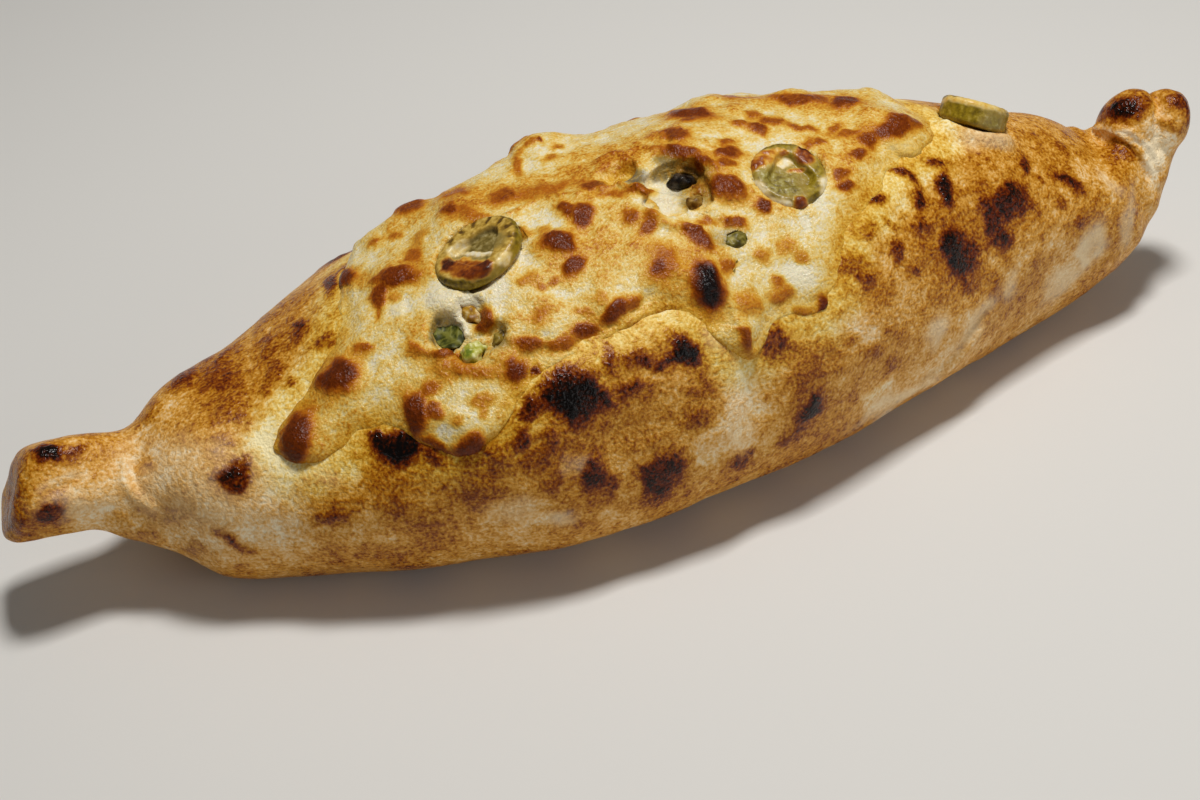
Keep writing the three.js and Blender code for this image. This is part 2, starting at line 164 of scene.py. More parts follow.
def piece_from(bm, name):
    """A finished mesh as an object in the scene."""
    mesh = bpy.data.meshes.new(name)
    bm.to_mesh(mesh)
    bm.free()
    piece = bpy.data.objects.new(name, mesh)
    bpy.context.scene.collection.objects.link(piece)
    return piece


def points_of(mesh):
    points = np.empty(len(mesh.vertices) * 3, np.float32)
    mesh.vertices.foreach_get("co", points)
    return points.reshape(-1, 3).astype(float)


def normals_of(mesh):
    normals = np.empty(len(mesh.vertices) * 3, np.float32)
    mesh.vertex_normals.foreach_get("vector", normals)
    return normals.reshape(-1, 3).astype(float)


def move_points(mesh, points):
    mesh.vertices.foreach_set("co", points.astype(np.float32).ravel())
    mesh.update()


def keep_field(mesh, name, values):
    """Stores one number for each point, for the material to read."""
    mesh.attributes.new(name, "FLOAT", "POINT").data.foreach_set("value", values.astype(np.float32))


def waves(points, size, seed):
    """Smooth random ups and downs of about a size, from -1 to 1."""
    away = Vector((seed * 7.3, seed * 3.1, seed * 5.7))
    return np.array([noise.noise(Vector(point) / size + away) for point in points])


# Blender seeds its vector noise from the clock, so a fixed seed keeps every run the same.
noise.seed_set(2)


def shaken(points, size, amount, seed):
    """The points moved about at random, so that marks laid on them get ragged outlines."""
    away = Vector((seed * 7.3, seed * 3.1, seed * 5.7))
    return points + amount * np.array([noise.noise_vector(Vector(point) / size + away) for point in points])


def ease(values, start, end):
    share = np.clip((values - start) / (end - start), 0, 1)
    return share * share * (3 - 2 * share)


def landing(x, y):
    """Where a place in the picture lies on the food, and the picture's metres for a pixel there."""
    way = picture_right * (x - PHOTO_WIDTH / 2) - picture_up * (y - PHOTO_HEIGHT / 2)
    way = (way - backward * focal_pixels).normalized()
    place = whole.ray_cast(standpoint, way)[0]
    if place is None:
        place = whole.find_nearest(standpoint + way * DISTANCE)[0]
    return place, (standpoint - place).dot(backward) / focal_pixels


# How much longer a mark may lie on a sloping face than it shows in the picture.
MARK_STRETCH = 1.7


def from_mark(points, x, y, half_length, half_width, turn):
    """Distance from a mark's middle, 1 at its rim, as the picture shows it; turn is in degrees."""
    place, pixel = landing(x, y)
    slant = math.radians(turn)
    along = picture_right * math.cos(slant) + picture_up * math.sin(slant)
    across = picture_up * math.cos(slant) - picture_right * math.sin(slant)
    offset = points - np.array(place)
    flat = np.hypot(offset @ along / (half_length * pixel), offset @ across / (half_width * pixel))
    straight = np.linalg.norm(offset, axis=1) / (MARK_STRETCH * max(half_length, half_width) * pixel)
    return np.maximum(flat, straight)


def closed_round(points, moved):
    """Points beside a slice or a piece of filling drawn up to it, so that the clearance closes."""
    found = [laid_on.find_nearest(Vector(point)) for point in points]
    share = ease(np.array([near[3] for near in found]), CLOSING_FROM, CLOSING_TO)[:, None]
    return moved + (np.array([near[0] for near in found]) - moved) * share


def from_line(points, corners):
    """Distance in metres from a line drawn through places in the picture."""
    nearest = np.full(len(points), 1.0)
    for (x0, y0), (x1, y1) in zip(corners, corners[1:]):
        steps = max(2, int(math.hypot(x1 - x0, y1 - y0) / 3))
        for step in range(steps + 1):
            share = step / steps
            place, _ = landing(x0 + (x1 - x0) * share, y0 + (y1 - y0) * share)
            nearest = np.minimum(nearest, np.linalg.norm(points - np.array(place), axis=1))
    return nearest


# Soft changes of tone in the dough: x and y in the picture, half length, half width, turn, and how
# much browner or paler.
DOUGH_TONES = [
    (70, 490, 70, 50, 0, -0.12), (190, 490, 120, 70, 0, -0.06), (60, 465, 40, 22, 0, 0.06),
    (10, 500, 14, 42, 0, 0.24), (150, 440, 45, 30, 30, -0.06), (130, 520, 45, 22, -20, -0.06),
    (180, 422, 26, 20, 20, 0.16), (222, 385, 34, 30, 20, 0.2), (290, 345, 45, 30, 40, 0.12),
    (205, 490, 60, 40, 0, -0.1), (285, 440, 40, 50, 0, -0.14), (860, 250, 50, 80, 0, -0.07),
    (280, 535, 80, 28, 0, -0.12), (265, 520, 26, 16, 0, 0.1), (525, 388, 34, 14, 35, -0.22),
    (880, 300, 36, 30, 0, 0.2), (900, 110, 60, 20, -10, -0.1), (235, 400, 60, 40, 40, -0.06),
    (330, 512, 34, 22, 0, 0.14), (420, 505, 80, 34, 0, 0.1), (480, 470, 80, 26, 0, 0.07),
    (600, 430, 110, 34, 15, 0.05), (640, 405, 50, 16, 25, -0.06), (530, 528, 70, 18, 8, -0.12),
    (640, 510, 70, 12, 20, -0.04), (740, 420, 22, 50, 0, -0.2), (795, 390, 40, 40, 30, 0.1),
    (960, 340, 60, 22, 35, -0.14), (900, 390, 80, 14, 27, -0.16), (1045, 150, 60, 26, -15, 0.12),
    (1015, 215, 50, 34, 0, 0.1), (1080, 270, 50, 18, 40, -0.14), (1160, 142, 20, 42, -25, -0.26),
    (1124, 134, 34, 7, -28, -0.24), (1112, 160, 18, 12, -30, 0.14), (1100, 215, 24, 30, 60, 0.03),
    (1150, 172, 8, 24, 10, -0.2), (1166, 150, 12, 24, -20, -0.1), (850, 330, 34, 26, 20, -0.16),
    (1000, 250, 24, 20, 0, -0.16), (700, 460, 22, 18, 0, -0.16), (545, 374, 14, 8, 20, -0.08),
    (800, 360, 34, 20, 20, -0.06), (640, 400, 40, 14, 20, 0.14), (290, 350, 24, 16, 40, 0.08),
    (60, 488, 30, 16, 0, 0.08), (1158, 128, 7, 34, 0, -0.12), (1178, 115, 12, 12, 0, 0.1),
    (1134, 124, 24, 9, 20, -0.16),
]
# Brown spots and burnt bubbles: x, y, half length, half width, turn, and how dark.
DOUGH_SPOTS = [
    (43, 455, 19, 14, 0, 1.0), (78, 452, 6, 9, 0, 0.68), (64, 447, 11, 4, 0, 0.6),
    (14, 512, 11, 22, 0, 0.62), (47, 513, 19, 12, 15, 0.76), (18, 480, 7, 22, 0, 0.55),
    (186, 377, 8, 15, -30, 0.76), (226, 356, 9, 6, 20, 0.78), (215, 378, 22, 17, 10, 0.66),
    (232, 410, 15, 14, 0, 0.56), (150, 415, 16, 8, 45, 0.5), (215, 442, 18, 9, 0, 0.48),
    (297, 327, 11, 8, 20, 0.76), (325, 344, 10, 7, 0, 0.64), (275, 368, 9, 11, 0, 0.62),
    (294, 381, 7, 6, 0, 0.64), (266, 346, 12, 14, 0, 0.6), (265, 388, 7, 6, 0, 0.56),
    (236, 479, 16, 16, 0, 0.78), (246, 463, 6, 6, 0, 0.62), (240, 543, 22, 5, -24, 0.68),
    (190, 548, 10, 5, 0, 0.5), (145, 466, 8, 6, 0, 0.46), (327, 516, 14, 10, 0, 0.68),
    (170, 506, 12, 4, 0, 0.46), (165, 517, 18, 5, 0, 0.44), (120, 518, 10, 8, 0, 0.4),
    (397, 445, 29, 22, -20, 1.0), (430, 455, 16, 8, -20, 0.78), (520, 440, 9, 8, 0, 0.78),
    (502, 450, 18, 12, 0, 0.6), (550, 441, 12, 9, 0, 0.62), (543, 455, 14, 9, 0, 0.52),
    (484, 490, 17, 16, 0, 0.6), (552, 490, 16, 8, 0, 0.56), (578, 398, 44, 26, -8, 1.0),
    (534, 412, 24, 10, 20, 0.78), (682, 353, 21, 16, -15, 1.0), (650, 360, 32, 9, 8, 0.76),
    (606, 362, 9, 9, 0, 0.72), (633, 389, 16, 9, -8, 0.74), (690, 421, 13, 11, 0, 0.62),
    (703, 413, 9, 7, 0, 0.56), (597, 478, 18, 20, 0, 0.83), (600, 460, 11, 9, 0, 0.62),
    (662, 478, 32, 19, 52, 0.82), (632, 445, 14, 8, 0, 0.46), (650, 440, 12, 8, 0, 0.48),
    (740, 461, 11, 12, 0, 0.72), (748, 445, 5, 7, 30, 0.66), (808, 414, 20, 14, 50, 0.88),
    (792, 438, 14, 9, 40, 0.6), (774, 341, 20, 18, 0, 0.68), (850, 266, 22, 14, -20, 0.56),
    (862, 283, 10, 8, 0, 0.66), (898, 252, 12, 11, -20, 0.76), (921, 230, 10, 7, -20, 0.72),
    (917, 269, 10, 7, 15, 0.68), (875, 202, 12, 7, 0, 0.8), (864, 231, 9, 7, 0, 0.6),
    (892, 226, 9, 5, 0, 0.56), (917, 199, 15, 9, -80, 0.86), (948, 190, 15, 7, -75, 0.86),
    (903, 176, 16, 6, -28, 0.78), (930, 166, 14, 5, -10, 0.74), (958, 250, 34, 26, -52, 0.88),
    (951, 250, 17, 21, 25, 1.0), (968, 281, 10, 5, -70, 0.74), (993, 224, 32, 11, -62, 0.84),
    (1010, 202, 31, 20, 20, 0.86), (1027, 166, 11, 7, -60, 0.8), (1041, 178, 5, 5, 0, 0.66),
    (1068, 181, 22, 8, -35, 0.78), (1058, 202, 6, 6, 0, 0.6), (1078, 223, 9, 6, 60, 0.56),
    (1060, 152, 6, 5, 0, 0.58), (1037, 150, 8, 4, -20, 0.56), (1034, 139, 8, 4, -10, 0.52),
    (1124, 150, 14, 9, -40, 0.54), (996, 290, 9, 13, 0, 0.56), (895, 330, 12, 7, 0, 0.54),
    (870, 353, 13, 9, 0, 0.5), (890, 367, 11, 8, 30, 0.56), (848, 336, 12, 7, 0, 0.54),
    (828, 352, 12, 9, 0, 0.5), (1128, 106, 22, 14, 12, 0.88), (1178, 98, 14, 8, -30, 0.74),
    (1186, 112, 4, 10, 0, 0.7), (1176, 124, 8, 5, -20, 0.46), (332, 287, 8, 13, 10, 0.74),
    (345, 272, 16, 6, 5, 0.7),
]
# Flour that stuck to the dough: x, y, half length, half width, turn, and how much.
DOUGH_FLOUR = [
    (575, 466, 17, 12, 0, 0.45), (560, 519, 18, 7, 10, 0.6), (515, 512, 30, 14, 0, 0.4),
    (740, 400, 14, 46, 5, 0.45), (735, 440, 12, 14, 0, 0.5), (938, 330, 10, 24, -20, 0.7),
    (975, 325, 46, 12, 50, 0.65), (1012, 285, 10, 22, -5, 0.6), (1090, 246, 16, 28, -15, 0.8),
    (1062, 284, 40, 13, 42, 0.65), (718, 335, 18, 24, 0, 0.45), (900, 396, 66, 10, 30, 0.7),
    (1128, 222, 10, 38, -6, 0.6), (1112, 186, 22, 8, -35, 0.5), (985, 142, 36, 8, 5, 0.6),
    (275, 470, 18, 40, 20, 0.35), (75, 505, 46, 18, 0, 0.5), (60, 482, 26, 6, 20, 0.5),
    (320, 478, 40, 12, 0, 0.3), (160, 465, 30, 24, 0, 0.25), (200, 490, 110, 70, 0, 0.42),
]
# Folds where the ends were twisted: places in the picture, half width and rise in metres.
DOUGH_FOLDS = [
    ([(1096, 128), (1118, 134), (1136, 148), (1150, 168), (1156, 184)], 0.0012, 0.0011),
    ([(1108, 124), (1132, 132), (1150, 148), (1158, 166)], 0.0009, 0.0008),
    ([(1104, 132), (1124, 142), (1140, 160), (1148, 178)], 0.0008, -0.0008),
    ([(1158, 96), (1156, 120), (1160, 150)], 0.0014, -0.0009),
    ([(125, 462), (124, 480), (134, 496), (152, 506)], 0.0013, 0.0012),
    ([(133, 464), (131, 478), (142, 494)], 0.0012, -0.0009),
    ([(52, 492), (64, 487), (76, 478)], 0.001, -0.0009),
    ([(924, 378), (942, 366), (962, 344), (986, 312)], 0.0012, -0.0009),
    ([(936, 380), (956, 362), (980, 330)], 0.0011, 0.0008),
    ([(944, 130), (960, 136), (982, 141), (1004, 142)], 0.0024, 0.0026),
]

# The openings in the cheese, where the dough stays below it: x, y, half length, half width and turn.
OPENINGS = [(470, 325, 55, 45, 0), (690, 192, 40, 34, 0), (622, 176, 30, 16, 0)]
OPENING_DROP = 0.0012
# How baked plain dough is, from 0 for raw to 1 for burnt, and its uneven places, broad to small.
PLAIN_BAKE = 0.42
DOUGH_WAVES = (0.016, 0.006, 0.0026)
# A spot's rim is red brown, whatever its middle is, and a burnt spot stands this far up.
SPOT_RIM = 0.58
SPOT_RISE = 0.0006
# How far from the cheese the dough is oily, and how far it swells.
OILY_FROM, OILY_TO = 0.013, 0.002
SWELL_FROM, SWELL_TO, SWELL_RISE = 0.011, 0.0006, 0.0008


def dough_step(at):
    """Longest edge at a place: fine where the neck is folded, coarse under the loaf."""
    if at.z < SOLE_TOP:
        return SOLE_STEP
    return NECK_STEP if at.x > NECK_START else DOUGH_STEP


def spotted(bake, near, depth, reach):
    """The bake with one more spot, first its rim and then its middle; nothing gets paler."""
    bake = bake + np.maximum(min(depth, SPOT_RIM) - bake, 0) * 0.7 * ease(near, 1.9, 0.8)
    return bake + np.maximum(depth - bake, 0) * ease(near, reach, 0.4)


dough_mesh = copy_of("crust")
refine(dough_mesh, dough_step)
crust = piece_from(dough_mesh, "crust_dough")
points = points_of(crust.data)
normals = normals_of(crust.data)
broad, middling, small = [waves(points, size, seed) for seed, size in enumerate(DOUGH_WAVES, 1)]
marked = shaken(shaken(points, 0.008, 0.0028, 1), 0.0024, 0.0009, 2)

# The loaf is a little paler above its foot.
bake = PLAIN_BAKE - 0.05 * ease(points[:, 2], 0.012, 0.04) + 0.2 * broad + 0.11 * middling + 0.06 * small
rise = 0.0004 * broad + 0.0002 * middling + 0.00006 * small
# Beside the cheese the dough is paler with its fat, and swells up to the cheese's edge.
cheese_tree = tree_of("melted_cheese")
beside = np.array([cheese_tree.find_nearest(Vector(point))[3] for point in points])
oily = ease(beside + 0.003 * middling, OILY_FROM, OILY_TO)
bake -= 0.12 * oily
rise += SWELL_RISE * ease(beside, SWELL_FROM, SWELL_TO)
for *mark, change in DOUGH_TONES:
    bake += change * np.exp(-from_mark(points, *mark) ** 2)
for *mark, depth in DOUGH_SPOTS:
    near = from_mark(marked, *mark)
    bake = spotted(bake, near, depth, 1.15)
    rise += SPOT_RISE * depth * ease(near, 1.2, 0.2)
flour = np.zeros(len(points))
for *mark, amount in DOUGH_FLOUR:
    flour = np.maximum(flour, amount * ease(from_mark(marked, *mark), 1.5, 0.3))
for corners, half_width, height in DOUGH_FOLDS:
    near = from_line(points, corners) / half_width
    rise += height * np.exp(-near ** 2)
    # Painted shade darkens the sunken folds and painted light makes the raised ones paler.
    bake -= 0.06 * np.sign(height) * np.exp(-near ** 2)

# The far side isn't in the picture: it has spots of the same kind, placed at random.
FAR_SPOTS = 70
FAR_SPOT_SIZES, FAR_SPOT_DEPTHS, FAR_SPOT_RISE = (0.002, 0.006), (0.5, 0.95), 0.0005
chance = random.Random(4)
for _ in range(FAR_SPOTS):
    start = Vector((chance.uniform(-0.15, 0.15), 0.3, chance.uniform(0.01, 0.2)))
    place = whole.ray_cast(start, Vector((start.x * 0.9, 0, 0.03)) - start)[0]
    if place is None:
        continue
    size, depth = chance.uniform(*FAR_SPOT_SIZES), chance.uniform(*FAR_SPOT_DEPTHS)
    near = np.linalg.norm((marked - np.array(place)) * (0.7, 1, 1), axis=1) / size
    bake = spotted(bake, near, depth, 1.25)
    rise += FAR_SPOT_RISE * depth * ease(near, 1.2, 0.2)

# The dough drops under the openings, and the underside is flat and evenly baked.
for mark in OPENINGS:
    inside = ease(from_mark(points, *mark), 1.2, 0.8)
    rise += (-OPENING_DROP - rise) * inside
below = ease(points[:, 2], 0.002, 0)
bake = bake * (1 - below) + (PLAIN_BAKE + 0.12 * broad + 0.1 * middling) * below
move_points(crust.data, closed_round(points, points + normals * (rise * (1 - below))[:, None]))
keep_field(crust.data, "bake", bake)
keep_field(crust.data, "flour", flour * (1 - below) * ease(bake, 0.72, 0.5))
keep_field(crust.data, "oily", oily)


def linear(colour):
    """A linear colour from an sRGB hex value."""
    parts = [int(colour[i:i + 2], 16) / 255 for i in (1, 3, 5)]
    return [p / 12.92 if p <= 0.04045 else ((p + 0.055) / 1.055) ** 2.4 for p in parts] + [1]


def node(tree, kind, inputs=(), stops=(), **settings):
    """Adds a node with its settings, its ramp's colour stops, and a value or a link for each input."""
    made = tree.nodes.new(kind)
    for name, value in settings.items():
        setattr(made, name, value)
    for index, (place, colour) in enumerate(stops):
        stop = made.color_ramp.elements.new(place) if index > 1 else made.color_ramp.elements[index]
        stop.position, stop.color = place, linear(colour)
    for name, value in dict(inputs).items():
        if isinstance(value, bpy.types.NodeSocket):
            tree.links.new(value, made.inputs[name])
        else:
            made.inputs[name].default_value = value
    return made


def material_of(piece, name):
    """A new material on a piece, with its node tree, its shader and the object's own coordinates."""
    material = bpy.data.materials.new(name)
    material.use_nodes = True
    piece.data.materials.append(material)
    tree = material.node_tree
    return tree, tree.nodes["Principled BSDF"], node(tree, "ShaderNodeTexCoord").outputs["Object"]


# Baked pizza dough: a thin, finely pitted skin with a film of oil. It goes from cream through gold to
# red brown, and yellower beside the cheese. Browner places are glossier, and flour whitens it in patches.
DOUGH_PATCH, DOUGH_GRAIN, DOUGH_PITS = 0.006, 0.002, 0.0008
DOUGH_COLOURS = [
    (0, "#f2dfba"), (0.16, "#e8c084"), (0.32, "#d69c40"), (0.46, "#b67613"), (0.6, "#8c4803"),
    (0.74, "#601f00"), (0.88, "#2a0c00"), (1, "#080403"),
]
OILY_COLOURS = [(0, "#f4e3ac"), (0.16, "#ebca70"), (0.32, "#d9a739"), (0.46, "#ba7d12")] + DOUGH_COLOURS[4:]
tree, shader, place = material_of(crust, "baked_dough")
baked = node(tree, "ShaderNodeAttribute", attribute_name="bake").outputs["Fac"]
floured = node(tree, "ShaderNodeAttribute", attribute_name="flour").outputs["Fac"]
patch, grain, pits = [
    node(tree, "ShaderNodeTexNoise", {"Vector": place, "Scale": 1 / size, "Detail": detail}).outputs["Fac"]
    for size, detail in ((DOUGH_PATCH, 3), (DOUGH_GRAIN, 3), (DOUGH_PITS, 2))
]
tone = node(tree, "ShaderNodeMath", {0: patch, 1: 0.36, 2: -0.76}, operation="MULTIPLY_ADD").outputs[0]
tone = node(tree, "ShaderNodeMath", {0: grain, 1: 0.5, 2: tone}, operation="MULTIPLY_ADD").outputs[0]
tone = node(tree, "ShaderNodeMath", {0: pits, 1: 0.66, 2: tone}, operation="MULTIPLY_ADD").outputs[0]
tone = node(tree, "ShaderNodeMath", {0: tone, 1: baked}, operation="ADD").outputs[0]
brown = node(tree, "ShaderNodeValToRGB", {"Fac": tone}, DOUGH_COLOURS).outputs["Color"]
gold = node(tree, "ShaderNodeValToRGB", {"Fac": tone}, OILY_COLOURS).outputs["Color"]
greased = node(tree, "ShaderNodeAttribute", attribute_name="oily").outputs["Fac"]
brown = node(tree, "ShaderNodeMix", {0: greased, 6: brown, 7: gold}, data_type="RGBA").outputs[2]
powder = node(tree, "ShaderNodeMath", {0: patch, 1: 1.2, 2: -0.6}, operation="MULTIPLY_ADD").outputs[0]
powder = node(tree, "ShaderNodeMath", {0: floured, 1: 1.1, 2: powder}, operation="MULTIPLY_ADD").outputs[0]
powder = node(tree, "ShaderNodeMath", {0: powder, 1: floured}, operation="MULTIPLY", use_clamp=True)
flour_colour = {0: powder.outputs[0], 6: brown, 7: linear("#f1dfb9")}
colour = node(tree, "ShaderNodeMix", flour_colour, data_type="RGBA")
shine = node(tree, "ShaderNodeMapRange", {
    "Value": tone, "From Min": 0.2, "From Max": 0.9, "To Min": 0.42, "To Max": 0.14,
})
height = node(tree, "ShaderNodeMath", {0: grain, 1: 1.5, 2: pits}, operation="MULTIPLY_ADD").outputs[0]
bumps = node(tree, "ShaderNodeBump", {"Height": height, "Strength": 1, "Distance": 0.00036})
tree.links.new(colour.outputs[2], shader.inputs["Base Color"])
tree.links.new(shine.outputs["Result"], shader.inputs["Roughness"])
tree.links.new(bumps.outputs["Normal"], shader.inputs["Normal"])
shader.inputs["Specular IOR Level"].default_value = 0.2
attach(crust, "root")
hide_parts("crust")

# Melted cheese: it fills the loaf, has come up through two slits and run over the top. It is ivory
# and oily, with brown blisters where it toasted, and pulls apart into the two openings.
CHEESE_STEP = 0.0008
MILLIMETRE = 0.001
# How brown plain cheese is, from 0 for white to 1 for burnt, and its uneven places, broad to small.
PLAIN_CHEESE = 0.17
CHEESE_WAVES = (0.011, 0.0045, 0.002)
# A blister's rim is orange, whatever its middle is.
BLISTER_RIM = 0.44
# Cheese this thin starts to show the dough through it or to sink into it, and this thin does so fully.
SHOWS_FROM, SHOWS_TO = 0.003, 0.0009
SINKS_FROM, SINKS_TO = 0.0013, 0.0007

# Soft changes of tone in the cheese: x and y in the picture, half length, half width, turn, and how
# much browner or whiter.
CHEESE_TONES = [
    (330, 420, 50, 60, 0, 0.05), (560, 180, 90, 14, 14, 0.2), (480, 195, 60, 16, 20, 0.18),
    (620, 150, 70, 14, 20, 0.18), (860, 120, 70, 30, 0, 0.08), (790, 105, 90, 14, 0, 0.08),
    (540, 160, 30, 26, 0, 0.06), (400, 250, 60, 40, 40, 0.06), (850, 260, 26, 80, 0, 0.12),
    (505, 288, 34, 20, 0, -0.16), (440, 298, 26, 18, 20, -0.16), (462, 325, 20, 16, 0, -0.16),
    (660, 204, 20, 24, 0, -0.5), (615, 178, 24, 10, 0, -0.16), (808, 277, 26, 18, -10, -0.2),
    (690, 172, 18, 9, 0, 0.36), (698, 188, 10, 10, 0, 0.24), (692, 206, 9, 6, 0, 0.24),
    (736, 262, 10, 24, 0, -0.14), (722, 326, 18, 16, 0, -0.14), (822, 196, 10, 16, 0, -0.16),
    (800, 222, 16, 8, 0, -0.16), (720, 208, 12, 9, 0, -0.14), (400, 308, 14, 10, 0, -0.14),
    (348, 300, 16, 9, 0, -0.08), (545, 222, 30, 12, 10, -0.08), (560, 285, 40, 14, 0, -0.06),
    (455, 415, 40, 26, 20, -0.06), (390, 370, 30, 40, 0, -0.03), (565, 303, 34, 7, 5, 0.12),
    (420, 324, 16, 10, 0, 0.12), (525, 318, 20, 8, 0, 0.1), (640, 330, 40, 8, 30, 0.1),
    (470, 300, 12, 8, 0, -0.1), (700, 250, 20, 12, 0, 0.06), (912, 151, 24, 7, -18, -0.14),
    (600, 250, 60, 34, 15, 0.2), (860, 160, 20, 12, 0, 0.1), (547, 157, 17, 13, 0, -0.34),
    (440, 232, 20, 12, 0, -0.14), (360, 320, 30, 16, 0, -0.06),
]
# Painted shade in the openings' hollows, with some oily juice: x, y, half length, half width, turn, how
# much.
CHEESE_STAINS = [
    (437, 332, 6, 16, 0, 0.8), (500, 345, 13, 9, 0, 0.6), (480, 304, 8, 6, 0, 0.3),
    (472, 318, 11, 7, -40, 0.4), (668, 164, 15, 9, -15, 0.75), (661, 177, 10, 8, 0, 0.7),
    (690, 176, 20, 9, -12, 0.85), (704, 196, 8, 9, 0, 0.5), (690, 203, 9, 9, 0, 0.6),
    (637, 177, 11, 10, 0, 0.85), (729, 238, 20, 12, 0, 0.45), (690, 192, 20, 14, 0, 0.4),
]
